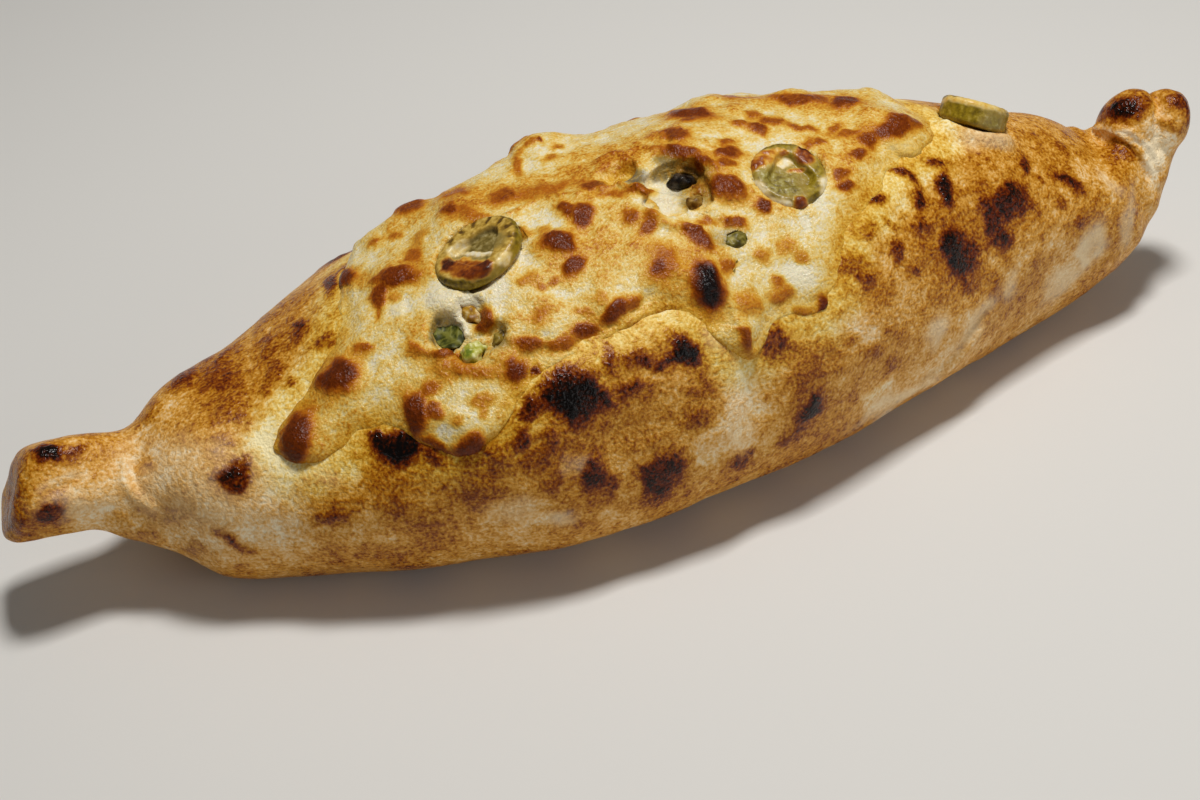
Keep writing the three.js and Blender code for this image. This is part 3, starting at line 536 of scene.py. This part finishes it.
# Blisters in the cheese: x, y, half length, half width, turn, how brown, and rise in millimetres.
CHEESE_BLISTERS = [
    (296, 437, 31, 18, 75, 0.76, 1.4), (311, 408, 8, 8, 0, 0.5, 0.4), (338, 377, 23, 17, 35, 0.77, 1.4),
    (362, 350, 11, 6, 0, 0.58, 0.7), (343, 280, 21, 9, 5, 0.72, 1.1), (328, 294, 7, 13, 0, 0.7, 0.9),
    (395, 277, 26, 10, 5, 0.71, 1.1), (380, 296, 9, 14, 0, 0.68, 0.9), (395, 297, 4, 5, 0, 0.46, 0.4),
    (399, 310, 8, 8, 0, 0.04, 0.9), (378, 312, 4, 5, 0, 0.52, -0.4), (412, 256, 9, 9, 0, 0.58, 0.5),
    (420, 238, 12, 5, 65, 0.44, 0.2), (395, 235, 9, 5, 0, 0.5, 0.3), (374, 241, 8, 4, 30, 0.52, 0.3),
    (410, 206, 17, 10, 10, 0.64, 0.6), (341, 256, 13, 8, 30, 0.66, 0.5), (450, 210, 11, 8, 0, 0.68, 0.6),
    (470, 214, 17, 8, -15, 0.52, 0.4), (455, 192, 17, 6, 10, 0.54, 0.3), (503, 195, 13, 9, 20, 0.62, 0.5),
    (540, 190, 32, 7, 12, 0.52, 0.3), (559, 243, 18, 12, 0, 0.75, 1.3), (572, 268, 14, 9, 55, 0.72, 1.0),
    (582, 216, 15, 10, -80, 0.72, 1.1), (566, 207, 11, 8, -50, 0.66, 0.9), (631, 214, 10, 8, 0, 0.6, 0.7),
    (649, 226, 14, 8, 60, 0.63, 0.9), (662, 263, 17, 19, 0, 0.54, 0.4), (661, 264, 9, 11, 20, 0.7, 0.1),
    (707, 288, 28, 18, -75, 0.76, 1.3), (708, 288, 21, 11, -75, 1.0, 0.2), (728, 267, 6, 8, 0, 0.56, 0.5),
    (518, 369, 14, 12, 0, 0.72, 1.2), (530, 343, 17, 8, 0, 0.64, 0.9), (560, 342, 15, 7, 5, 0.58, 0.7),
    (586, 331, 14, 9, 10, 0.7, 1.0), (613, 312, 18, 9, 32, 0.72, 1.0), (634, 302, 10, 6, 30, 0.58, 0.6),
    (541, 316, 9, 8, 0, 0.47, 0.5), (527, 280, 9, 6, 10, 0.45, 0.4), (552, 280, 6, 4, 0, 0.5, 0.3),
    (540, 287, 6, 4, 0, 0.48, 0.3), (600, 297, 5, 4, 0, 0.42, 0.2), (583, 311, 10, 4, -10, 0.46, 0.3),
    (525, 233, 7, 5, 0, 0.45, 0.3), (545, 229, 8, 5, 0, 0.42, 0.2), (485, 322, 12, 7, 80, 0.64, 0.7),
    (442, 357, 15, 5, 0, 0.62, 0.6), (414, 352, 10, 6, -60, 0.52, 0.6), (414, 414, 25, 13, -70, 0.76, 1.2),
    (434, 412, 11, 8, 0, 0.64, 0.5), (430, 388, 16, 8, 35, 0.54, 0.5), (470, 448, 19, 12, 20, 0.74, 1.2),
    (440, 447, 20, 5, -35, 0.66, 0.7), (470, 372, 36, 7, -5, 0.48, 0.6), (482, 399, 10, 7, 0, 0.45, 0.3),
    (458, 418, 6, 5, 0, 0.42, 0.2), (484, 413, 4, 7, 0, 0.42, 0.2), (539, 370, 4, 5, 0, 0.77, 0.1),
    (518, 163, 4, 11, 5, 0.52, 0.2), (529, 146, 8, 4, 25, 0.54, 0.2), (540, 142, 4, 3, 0, 0.7, 0.1),
    (556, 146, 5, 4, 0, 0.5, -0.3), (551, 158, 7, 5, 0, 0.5, 0.3), (592, 185, 13, 6, -5, 0.66, 0.7),
    (612, 193, 18, 4, 8, 0.52, 0.4), (640, 192, 15, 5, 0, 0.6, 0.4), (677, 135, 16, 7, 5, 0.66, 0.8),
    (690, 114, 25, 9, -8, 0.7, 1.0), (680, 153, 19, 7, -5, 0.68, 0.9), (703, 162, 13, 6, -25, 0.66, 0.8),
    (728, 142, 11, 5, 0, 0.58, 0.7), (727, 153, 16, 7, -5, 0.68, 0.8), (728, 163, 13, 5, 0, 0.62, 0.7),
    (740, 98, 19, 4, 0, 0.58, 0.4), (752, 115, 8, 5, 0, 0.58, 0.4), (738, 124, 9, 5, 0, 0.58, 0.4),
    (757, 128, 11, 7, -30, 0.66, 0.7), (772, 121, 13, 5, -10, 0.62, 0.5), (803, 128, 15, 4, -15, 0.58, 0.4),
    (800, 101, 29, 7, -5, 0.66, 0.6), (846, 103, 19, 9, 15, 0.72, 0.8), (835, 128, 10, 4, 25, 0.56, 0.3),
    (850, 134, 17, 4, 8, 0.56, 0.3), (820, 142, 9, 5, 0, 0.58, 0.4), (853, 155, 10, 6, 0, 0.66, 0.5),
    (842, 174, 9, 6, 0, 0.62, 0.4), (845, 186, 12, 6, -5, 0.7, 0.4), (805, 143, 7, 4, 10, 0.52, 0.3),
    (893, 128, 26, 12, 20, 0.69, 0.8), (870, 141, 13, 10, 50, 0.66, 0.6), (912, 120, 13, 8, -40, 0.64, 0.5),
    (910, 151, 27, 8, -18, 0.12, 1.6), (728, 187, 19, 13, -30, 0.68, 1.5),
    (763, 207, 10, 6, -50, 0.72, 0.8), (736, 223, 14, 6, 0, 0.64, 0.7), (706, 221, 9, 4, 0, 0.5, 0.3),
    (697, 236, 17, 10, -35, 0.68, 1.2), (708, 246, 9, 6, -60, 0.62, 0.5), (762, 256, 9, 6, -20, 0.45, 0.4),
    (785, 247, 9, 8, 0, 0.43, 0.4), (803, 257, 6, 6, 0, 0.45, 0.3), (748, 302, 13, 9, -40, 0.45, 0.5),
    (781, 295, 12, 9, 0, 0.5, 0.6), (779, 281, 7, 6, 0, 0.5, 0.3), (823, 307, 14, 8, 80, 0.72, 0.7),
    (806, 333, 12, 8, -10, 0.68, 0.7), (803, 311, 7, 5, 0, 0.5, 0.3), (742, 337, 11, 6, -65, 0.64, 0.5),
    (757, 367, 12, 8, -65, 0.68, 1.2), (713, 345, 6, 7, 0, 0.42, 0.2), (453, 307, 25, 17, -15, 0, 1.7),
    (464, 329, 12, 9, -20, 0, 1), (661, 205, 16, 20, 0, 0, 1.6),
]
# Lips and folds in the cheese: places in the picture, half width in metres, rise in millimetres, and
# how brown.
CHEESE_LIPS = [
    ([(640, 186), (646, 202), (656, 216), (672, 226), (700, 227)], 0.0011, 0.9, 0.42),
    ([(598, 190), (620, 184), (640, 190)], 0.0011, 0.9, 0.5),
    ([(508, 214), (525, 206), (556, 195), (580, 194)], 0.001, 0.8, 0.5),
    ([(530, 356), (575, 345), (610, 326), (650, 300)], 0.0016, -0.8, 0.2),
    ([(705, 250), (722, 290), (738, 320), (752, 352), (762, 372)], 0.0012, 0.7, 0.3),
    ([(412, 352), (440, 356), (462, 362)], 0.0011, 0.8, 0.5),
    ([(736, 335), (748, 355), (757, 374)], 0.003, 1, 0.3),
    ([(600, 160), (640, 150), (690, 150), (715, 170)], 0.0014, 0.9, 0.55),
]


def blistered(brown, near, depth):
    """How brown the cheese is with one more blister, first its rim and then its middle."""
    brown = brown + np.maximum(min(depth, BLISTER_RIM) - brown, 0) * 0.8 * ease(near, 1.9, 0.9)
    return brown + np.maximum(depth - brown, 0) * ease(near, 1.2, 0.55)


cheese_mesh = copy_of("melted_cheese", merge=0.00015)
refine(cheese_mesh, lambda at: CHEESE_STEP, smooth_rounds=16)
cheese = piece_from(cheese_mesh, "melted_cheese_top")
points = points_of(cheese.data)
normals = normals_of(cheese.data)
broad, middling, small = [waves(points, size, seed) for seed, size in enumerate(CHEESE_WAVES, 5)]
marked = shaken(shaken(points, 0.005, 0.0014, 5), 0.0018, 0.0006, 6)

dough_tree = tree_of("crust")
underneath = [dough_tree.find_nearest(Vector(point)) for point in points]
thick = np.array([found[3] for found in underneath]) + 0.0005 * middling
thin = ease(thick, SHOWS_FROM, SHOWS_TO)

skin = np.zeros(len(points))
brown = PLAIN_CHEESE + 0.16 * broad + 0.14 * middling + 0.08 * small + 0.08 * thin
rise = (0.8 * broad + 0.5 * middling + 0.15 * small) * MILLIMETRE * (1 - 0.8 * thin)
for *mark, change in CHEESE_TONES:
    brown += change * np.exp(-from_mark(points, *mark) ** 2)
for *mark, depth, height in CHEESE_BLISTERS:
    near = from_mark(marked, *mark)
    skin = np.maximum(skin, ease(near, 1.7, 0.9))
    brown = blistered(brown, near, depth)
    rise += 0.65 * height * MILLIMETRE * np.sqrt(np.clip(1.1 - near ** 2, 0, 1))
for corners, half_width, height, depth in CHEESE_LIPS:
    near = from_line(marked, corners) / half_width
    brown += np.maximum(depth - brown, 0) * np.exp(-near ** 2)
    rise += height * MILLIMETRE * np.exp(-near ** 2)

# Painted shade in the hollows of the openings, mixed with a little oily juice.
stain = np.zeros(len(points))
for *mark, amount in CHEESE_STAINS:
    stain = np.maximum(stain, amount * ease(from_mark(marked, *mark), 1.3, 0.5))

# The far side of the cheese isn't in the picture: it has blisters of the same kind, at random.
FAR_BLISTERS = 60
FAR_CHEESE = 0.034
FAR_BLISTER_SIZES, FAR_BLISTER_DEPTHS = (0.0015, 0.004), (0.5, 0.88)
for _ in range(FAR_BLISTERS):
    start = Vector((chance.uniform(-0.08, 0.08), 0.2, chance.uniform(0.1, 0.3)))
    place = whole.ray_cast(start, Vector((start.x, 0, 0.05)) - start)[0]
    if place is None or place.y < FAR_CHEESE:
        continue
    size, depth = chance.uniform(*FAR_BLISTER_SIZES), chance.uniform(*FAR_BLISTER_DEPTHS)
    near = np.linalg.norm((marked - np.array(place)) * (0.75, 1, 1), axis=1) / size
    skin = np.maximum(skin, ease(near, 1.7, 0.9))
    brown = blistered(brown, near, depth)
    rise += 0.2 * size * np.sqrt(np.clip(1 - near ** 2, 0, 1))

# At its outline the cheese sinks into the dough, so that it ends in a feathered edge.
onto = np.array([found[0] for found in underneath])
sink = ease(thick, SINKS_FROM, SINKS_TO)[:, None]
moved = points + normals * rise[:, None] + (onto - points) * 1.1 * sink
move_points(cheese.data, closed_round(points, moved))
keep_field(cheese.data, "brown", brown)
keep_field(cheese.data, "skin", skin)
keep_field(cheese.data, "thin", thin)
keep_field(cheese.data, "stain", stain)

# Melted mozzarella: a milky, oily body that lets a little light in and toasts from yellow through
# orange to a dark red brown. Blisters have a smooth, even skin, and at the cheese's thin edge the
# baked dough shows through.
CHEESE_PATCH, CHEESE_GRAIN, CHEESE_PITS = 0.004, 0.0014, 0.0007
CHEESE_COLOURS = [
    (0, "#e3d8b8"), (0.12, "#e2cb8c"), (0.25, "#dbb65c"), (0.38, "#cc922c"), (0.52, "#a95e0c"),
    (0.68, "#743002"), (0.84, "#421602"), (1, "#0b0504"),
]
tree, shader, place = material_of(cheese, "melted_mozzarella")
toasted = node(tree, "ShaderNodeAttribute", attribute_name="brown").outputs["Fac"]
thinned = node(tree, "ShaderNodeAttribute", attribute_name="thin").outputs["Fac"]
patch, grain, pits = [
    node(tree, "ShaderNodeTexNoise", {"Vector": place, "Scale": 1 / size, "Detail": detail}).outputs["Fac"]
    for size, detail in ((CHEESE_PATCH, 3), (CHEESE_GRAIN, 3), (CHEESE_PITS, 2))
]
tone = node(tree, "ShaderNodeMath", {0: patch, 1: 0.3, 2: -0.53}, operation="MULTIPLY_ADD").outputs[0]
tone = node(tree, "ShaderNodeMath", {0: grain, 1: 0.34, 2: tone}, operation="MULTIPLY_ADD").outputs[0]
tone = node(tree, "ShaderNodeMath", {0: pits, 1: 0.42, 2: tone}, operation="MULTIPLY_ADD").outputs[0]
stretched = node(tree, "ShaderNodeAttribute", attribute_name="skin").outputs["Fac"]
even = node(tree, "ShaderNodeMath", {0: stretched, 1: -0.6, 2: 1}, operation="MULTIPLY_ADD").outputs[0]
tone = node(tree, "ShaderNodeMath", {0: tone, 1: even, 2: toasted}, operation="MULTIPLY_ADD").outputs[0]
milky = node(tree, "ShaderNodeValToRGB", {"Fac": tone}, CHEESE_COLOURS).outputs["Color"]
golden = node(tree, "ShaderNodeMath", {0: tone, 1: 0.85, 2: 0.12}, operation="MULTIPLY_ADD").outputs[0]
golden = node(tree, "ShaderNodeValToRGB", {"Fac": golden}, OILY_COLOURS).outputs["Color"]
colour = node(tree, "ShaderNodeMix", {0: thinned, 6: milky, 7: golden}, data_type="RGBA").outputs[2]
# Painted shade darkens the hollows of the openings, with a little oily juice.
stained = node(tree, "ShaderNodeAttribute", attribute_name="stain").outputs["Fac"]
juice = node(tree, "ShaderNodeValToRGB", {"Fac": grain}, [
    (0.3, "#2e1c06"), (0.5, "#5d4514"), (0.7, "#94773a"),
]).outputs["Color"]
colour = node(tree, "ShaderNodeMix", {0: stained, 6: colour, 7: juice}, data_type="RGBA").outputs[2]
shine = node(tree, "ShaderNodeMapRange", {
    "Value": tone, "From Min": 0.1, "From Max": 0.6, "To Min": 0.2, "To Max": 0.27,
})
height = node(tree, "ShaderNodeMath", {0: grain, 1: 1.5, 2: pits}, operation="MULTIPLY_ADD").outputs[0]
bumps = node(tree, "ShaderNodeBump", {"Height": height, "Strength": 0.6, "Distance": 0.0004})
tree.links.new(colour, shader.inputs["Base Color"])
tree.links.new(shine.outputs["Result"], shader.inputs["Roughness"])
tree.links.new(bumps.outputs["Normal"], shader.inputs["Normal"])
shader.inputs["Specular IOR Level"].default_value = 0.16
shader.inputs["Subsurface Weight"].default_value = 0.15
shader.inputs["Subsurface Radius"].default_value = (1, 0.7, 0.35)
shader.inputs["Subsurface Scale"].default_value = 0.002
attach(cheese, "root")
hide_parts("melted_cheese")

# Chilli slices: three rings cut from a pickled green chilli, laid on before baking. The skin is
# olive, the flesh yellow with darker ribs, and cheese has run over parts of them.
SLICE_STEP = 0.0004
SLICE_RIBS = 15
CHILLI_GRAIN = 0.0012
# What shows on the slices, later marks over earlier ones: x and y in the picture, half length, half
# width, turn, what it is, how much of it or how brown the cheese is, and how thick in millimetres.
# Seeds are the dull green of seeds and pith under a thin film of cheese.
SLICE_MARKS = [
    (490, 242, 18, 10, 10, "core", 0.9, 0), (458, 249, 13, 7, 25, "cheese", 0.12, 0.1),
    (478, 254, 16, 3, -4, "cheese", 0.02, 0.3), (503, 258, 9, 6, 40, "cheese", 0.14, 0.1),
    (466, 268, 28, 11, -3, "cheese", 0.6, 0.2), (448, 264, 8, 8, 20, "cheese", 0.82, 0),
    (484, 265, 9, 7, -20, "cheese", 0.78, 0.1), (474, 274, 16, 6, 0, "cheese", 0.7, 0),
    (466, 259, 6, 3, 0, "cheese", 0.4, 0), (785, 176, 50, 42, 0, "skin", 0.85, 0.1),
    (781, 182, 25, 15, -15, "seeds", 0.8, 0), (783, 163, 9, 5, 0, "cheese", 0.04, 0.1),
    (766, 158, 22, 9, 22, "cheese", 0.4, 0.2), (757, 152, 9, 3, 36, "skin", 0.9, 0),
    (777, 146, 16, 3, 3, "skin", 0.9, 0), (798, 149, 9, 3, -20, "skin", 0.9, 0),
    (777, 186, 24, 12, -25, "seeds", 0.9, 0), (815, 182, 7, 19, -10, "skin", 1, 0),
    (768, 153, 6, 3, 0, "cheese", 0.5, 0.1), (783, 153, 5, 3, 0, "cheese", 0.5, 0.1),
    (804, 157, 12, 8, -35, "cheese", 0.66, 0.3), (807, 152, 11, 2, -28, "cheese", 0.86, 0),
    (797, 171, 9, 4, 10, "cheese", 0.5, 0.1), (757, 164, 12, 5, 34, "cheese", 0.62, 0.3),
    (748, 174, 6, 4, 40, "cheese", 0.42, 0.1), (801, 204, 8, 9, 0, "cheese", 0.68, 0.9),
    (757, 191, 14, 9, -45, "cheese", 0.02, 0.3), (779, 207, 18, 8, -15, "cheese", 0.02, 0.4),
    (828, 188, 9, 15, 0, "cheese", 0.02, 0.3), (962, 122, 26, 14, -12, "skin", 1, 0),
    (944, 112, 7, 14, 0, "skin", 1, 0), (992, 125, 14, 10, 20, "seeds", 0.8, 0),
    (974, 102, 34, 4, -16, "cheese", 0.24, 0), (972, 143, 36, 4, -2, "cheese", 0.06, 0.2),
]

for number in (1, 2, 3):
    slice_mesh = copy_of(f"chilli_slice_{number}")
    refine(slice_mesh, lambda at: SLICE_STEP, smooth_rounds=6, swell=0, keep_seats=False)
    ring = piece_from(slice_mesh, f"chilli_ring_{number}")
    points = points_of(ring.data)
    normals = normals_of(ring.data)
    corners = points_of(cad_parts[f"chilli_slice_{number}"].data)
    middle = corners.mean(0)
    axis = np.linalg.svd(corners - middle, full_matrices=False)[2][2]
    axis *= np.sign(axis[2])
    height = (points - middle) @ axis
    flat = points - middle - height[:, None] * axis
    radius = np.linalg.norm(flat, axis=1)
    radius /= radius.max()
    aside = np.cross(axis, (1.0, 0, 0))
    ahead = np.cross(aside, axis)
    round_it = np.arctan2(flat @ aside, flat @ ahead)
    small, fine = waves(points, 0.0022, 8 + number), waves(points, 0.0008, 11 + number)
    marked = shaken(shaken(points, 0.003, 0.0007, 14 + number), 0.0011, 0.0004, 17 + number)
    top = height.max()
    ribs = ease(np.cos(SLICE_RIBS * round_it + 2 * small), -0.2, 0.9)
    ribs *= ease(radius, 0.6, 0.78) * ease(flat @ np.array(picture_up), -0.002, 0.004)
    rim = ease(radius, 0.85, 0.92) * ease(height, top - 0.0016, top - 0.0006)
    shares = {
        "core": ease(height, top - 0.0004, top - 0.0014) * ease(radius, 0.75, 0.6),
        "skin": ease(radius + 0.02 * small, 0.88, 0.95),
        "seeds": np.zeros(len(points)),
        "cheese": np.zeros(len(points)),
    }
    brown = np.full(len(points), 0.15)
    rise = 0.0001 * small + 0.00004 * fine - 0.00015 * ribs
    for *mark, stuff, amount, thickness in SLICE_MARKS:
        near = from_mark(marked, *mark)
        over = ease(near, 1.3, 0.6)
        if stuff == "cheese":
            brown += (amount - brown) * over
        else:
            over *= amount
        for name in shares:
            shares[name] += ((name == stuff) - shares[name]) * over
        rise += thickness * MILLIMETRE * np.sqrt(np.clip(1 - near ** 2, 0, 1))
    move_points(ring.data, points + normals * rise[:, None])
    fields = {**shares, "ribs": ribs, "rim": rim, "brown": brown}
    for name, values in fields.items():
        keep_field(ring.data, name, values)

    # Pickled chilli: wet and glossy, olive outside and yellow green inside, with a dark cut rim.
    tree, shader, place = material_of(ring, f"pickled_chilli_{number}")
    cored, skinned, seeded, covered, ribbed, rimmed, toasted = [
        node(tree, "ShaderNodeAttribute", attribute_name=name).outputs["Fac"] for name in fields
    ]
    speckle = {"Vector": place, "Scale": 1 / CHILLI_GRAIN, "Detail": 4}
    grain = node(tree, "ShaderNodeTexNoise", speckle).outputs["Fac"]
    streak = node(tree, "ShaderNodeMath", {0: ribbed, 1: 0.46, 2: grain}, operation="MULTIPLY_ADD")
    flesh = node(tree, "ShaderNodeValToRGB", {"Fac": streak.outputs[0]}, [
        (0.3, "#d4b45c"), (0.5, "#b5903a"), (0.7, "#8f6d1e"), (0.9, "#5a3e10"),
    ])
    cavity = node(tree, "ShaderNodeValToRGB", {"Fac": grain}, [
        (0.2, "#4a3c12"), (0.42, "#6e5c26"), (0.58, "#8a7740"), (0.8, "#b5a878"),
    ])
    edge = node(tree, "ShaderNodeMath", {0: rimmed, 1: -0.22, 2: grain}, operation="MULTIPLY_ADD")
    peel = node(tree, "ShaderNodeValToRGB", {"Fac": edge.outputs[0]}, [
        (0.15, "#453405"), (0.4, "#7a640a"), (0.55, "#8f7812"), (0.75, "#b39a44"),
    ])
    pith = node(tree, "ShaderNodeValToRGB", {"Fac": grain}, [
        (0.3, "#55460f"), (0.46, "#7d6c22"), (0.6, "#978a44"), (0.75, "#c2b98a"),
    ])
    toast = node(tree, "ShaderNodeMath", {0: grain, 1: 0.5, 2: -0.25}, operation="MULTIPLY_ADD").outputs[0]
    toast = node(tree, "ShaderNodeMath", {0: toast, 1: toasted}, operation="ADD").outputs[0]
    melt = node(tree, "ShaderNodeValToRGB", {"Fac": toast}, CHEESE_COLOURS)
    colour = flesh.outputs["Color"]
    for share, layer in ((cored, cavity), (skinned, peel), (seeded, pith), (covered, melt)):
        over = {0: share, 6: colour, 7: layer.outputs["Color"]}
        colour = node(tree, "ShaderNodeMix", over, data_type="RGBA").outputs[2]
    bumps = node(tree, "ShaderNodeBump", {"Height": grain, "Strength": 0.5, "Distance": 0.0004})
    tree.links.new(colour, shader.inputs["Base Color"])
    tree.links.new(bumps.outputs["Normal"], shader.inputs["Normal"])
    shader.inputs["Roughness"].default_value = 0.34
    shader.inputs["Specular IOR Level"].default_value = 0.35
    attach(ring, "root")
    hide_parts(f"chilli_slice_{number}")

# Filling: pieces of pepper, mushroom, olive and leaf that show in and beside the two openings, half
# sunk in the cheese that holds them.
FILLING_STEP = 0.0005
LUMPS_BROAD, LUMPS_SMALL = 0.004, 0.0016
VEGETABLE_GRAIN = 0.002
# Each with its kind, its material, colours from dark to light, roughness, and lumps in millimetres.
FILLING = [
    ("pepper_piece_1", "pepper", "cooked_green_pepper", ("#63701c", "#a8a538", "#e6e2a8"), 0.35, 1.4),
    ("pepper_piece_2", "pepper", "brown_pepper_in_painted_shade", ("#4f3c0a", "#7d6418", "#b09a50"), 0.4, 1.3),
    # The second piece's dark brown is partly painted shade of the hollow it sits in.
    ("pepper_piece_3", "pepper", "cooked_yellow_pepper", ("#7c4f08", "#b0821c", "#ead9a6"), 0.4, 1.4),
    ("pepper_piece_4", "pepper", "cooked_dark_pepper", ("#3a3208", "#6a5e18", "#a99b54"), 0.4, 1.1),
    ("olive_piece", "olive", "black_olive", ("#080605", "#1a1410", "#443a30"), 0.25, 0.9),
    ("mushroom_piece", "mushroom", "cooked_mushroom", ("#5a3a10", "#94722e", "#c8a866"), 0.45, 1.3),
    ("leaf_piece", "leaf", "wilted_leaf", ("#1f2303", "#3e420b", "#706f2a"), 0.5, 0.6),
]
# Veins of the leaf: how far apart, how they slant back from the midrib, and how wide.
VEIN_PITCH, VEIN_SLANT, VEIN_WIDTH = 0.0026, 0.8, 0.0003

for name, slot, finish, colours, gloss, lump in FILLING:
    bit_mesh = copy_of(name)
    refine(bit_mesh, lambda at: FILLING_STEP, smooth_rounds=3, swell=0, keep_seats=False)
    bit = piece_from(bit_mesh, f"{name}_in_cheese")
    points = points_of(bit.data)
    middle = points.mean(0)
    along, across, through = np.linalg.svd(points - middle, full_matrices=False)[2]
    lumps = 0.8 * waves(points, LUMPS_BROAD, 21) + 0.4 * waves(points, LUMPS_SMALL, 22)
    lumps *= lump * MILLIMETRE
    veins = np.zeros(len(points))
    if name == "leaf_piece":
        ahead, aside = (points - middle) @ along, (points - middle) @ across
        side_vein = (ahead - VEIN_SLANT * np.abs(aside)) % VEIN_PITCH
        side_vein = np.minimum(side_vein, VEIN_PITCH - side_vein)
        veins = np.exp(-(np.minimum(side_vein, np.abs(aside) / 1.6) / VEIN_WIDTH) ** 2)
        move_points(bit.data, points + through * (lumps + 0.2 * MILLIMETRE * veins)[:, None])
    else:
        move_points(bit.data, points + normals_of(bit.data) * lumps[:, None])
    keep_field(bit.data, "veins", veins)

    # Cooked vegetable: moist and uneven, with painted shade in the dips of its bumps, and paler veins in the
    # leaf.
    tree, shader, place = material_of(bit, finish)
    speckle = {"Vector": place, "Scale": 1 / VEGETABLE_GRAIN, "Detail": 4}
    grain = node(tree, "ShaderNodeTexNoise", speckle).outputs["Fac"]
    veined = node(tree, "ShaderNodeAttribute", attribute_name="veins").outputs["Fac"]
    tone = node(tree, "ShaderNodeMath", {0: veined, 1: 0.25, 2: grain}, operation="MULTIPLY_ADD").outputs[0]
    colour = node(tree, "ShaderNodeValToRGB", {"Fac": tone}, list(zip((0.35, 0.5, 0.7), colours)))
    bumps = node(tree, "ShaderNodeBump", {"Height": grain, "Strength": 0.5, "Distance": 0.0004})
    tree.links.new(colour.outputs["Color"], shader.inputs["Base Color"])
    tree.links.new(bumps.outputs["Normal"], shader.inputs["Normal"])
    shader.inputs["Roughness"].default_value = gloss
    shader.inputs["Specular IOR Level"].default_value = 0.25
    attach(bit, "root")
    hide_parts(name)

# Floor and light: a pale sheet of paper under the loaf, a soft lamp above it and a weaker, broader
# one at the near right to fill its shadows.
FLOOR_HALF = 3.0
floor_mesh = bmesh.new()
bmesh.ops.create_grid(floor_mesh, x_segments=1, y_segments=1, size=FLOOR_HALF)
floor = piece_from(floor_mesh, "floor")
_, shader, _ = material_of(floor, "pale_paper")
shader.inputs["Base Color"].default_value = linear("#d9d6d0")
shader.inputs["Roughness"].default_value = 0.9

# Lamps: name, place, width and power.
LAMPS = [
    ("overhead_lamp", (0.12, 0.02, 0.9), 0.16, 6.7),
    ("right_fill", (0.5, -0.9, 0.38), 0.6, 2),
]
for name, spot, size, power in LAMPS:
    lamp = bpy.data.objects.new(name, bpy.data.lights.new(name, "AREA"))
    lamp.data.size = size
    lamp.data.energy = power
    lamp.location = spot
    lamp.rotation_euler = (AIM - Vector(spot)).to_track_quat("-Z", "Y").to_euler()
    bpy.context.scene.collection.objects.link(lamp)
world = bpy.data.worlds.new("studio")
world.use_nodes = True
world.node_tree.nodes["Background"].inputs["Color"].default_value = linear("#fffdf8")
world.node_tree.nodes["Background"].inputs["Strength"].default_value = 0.12
bpy.context.scene.world = world
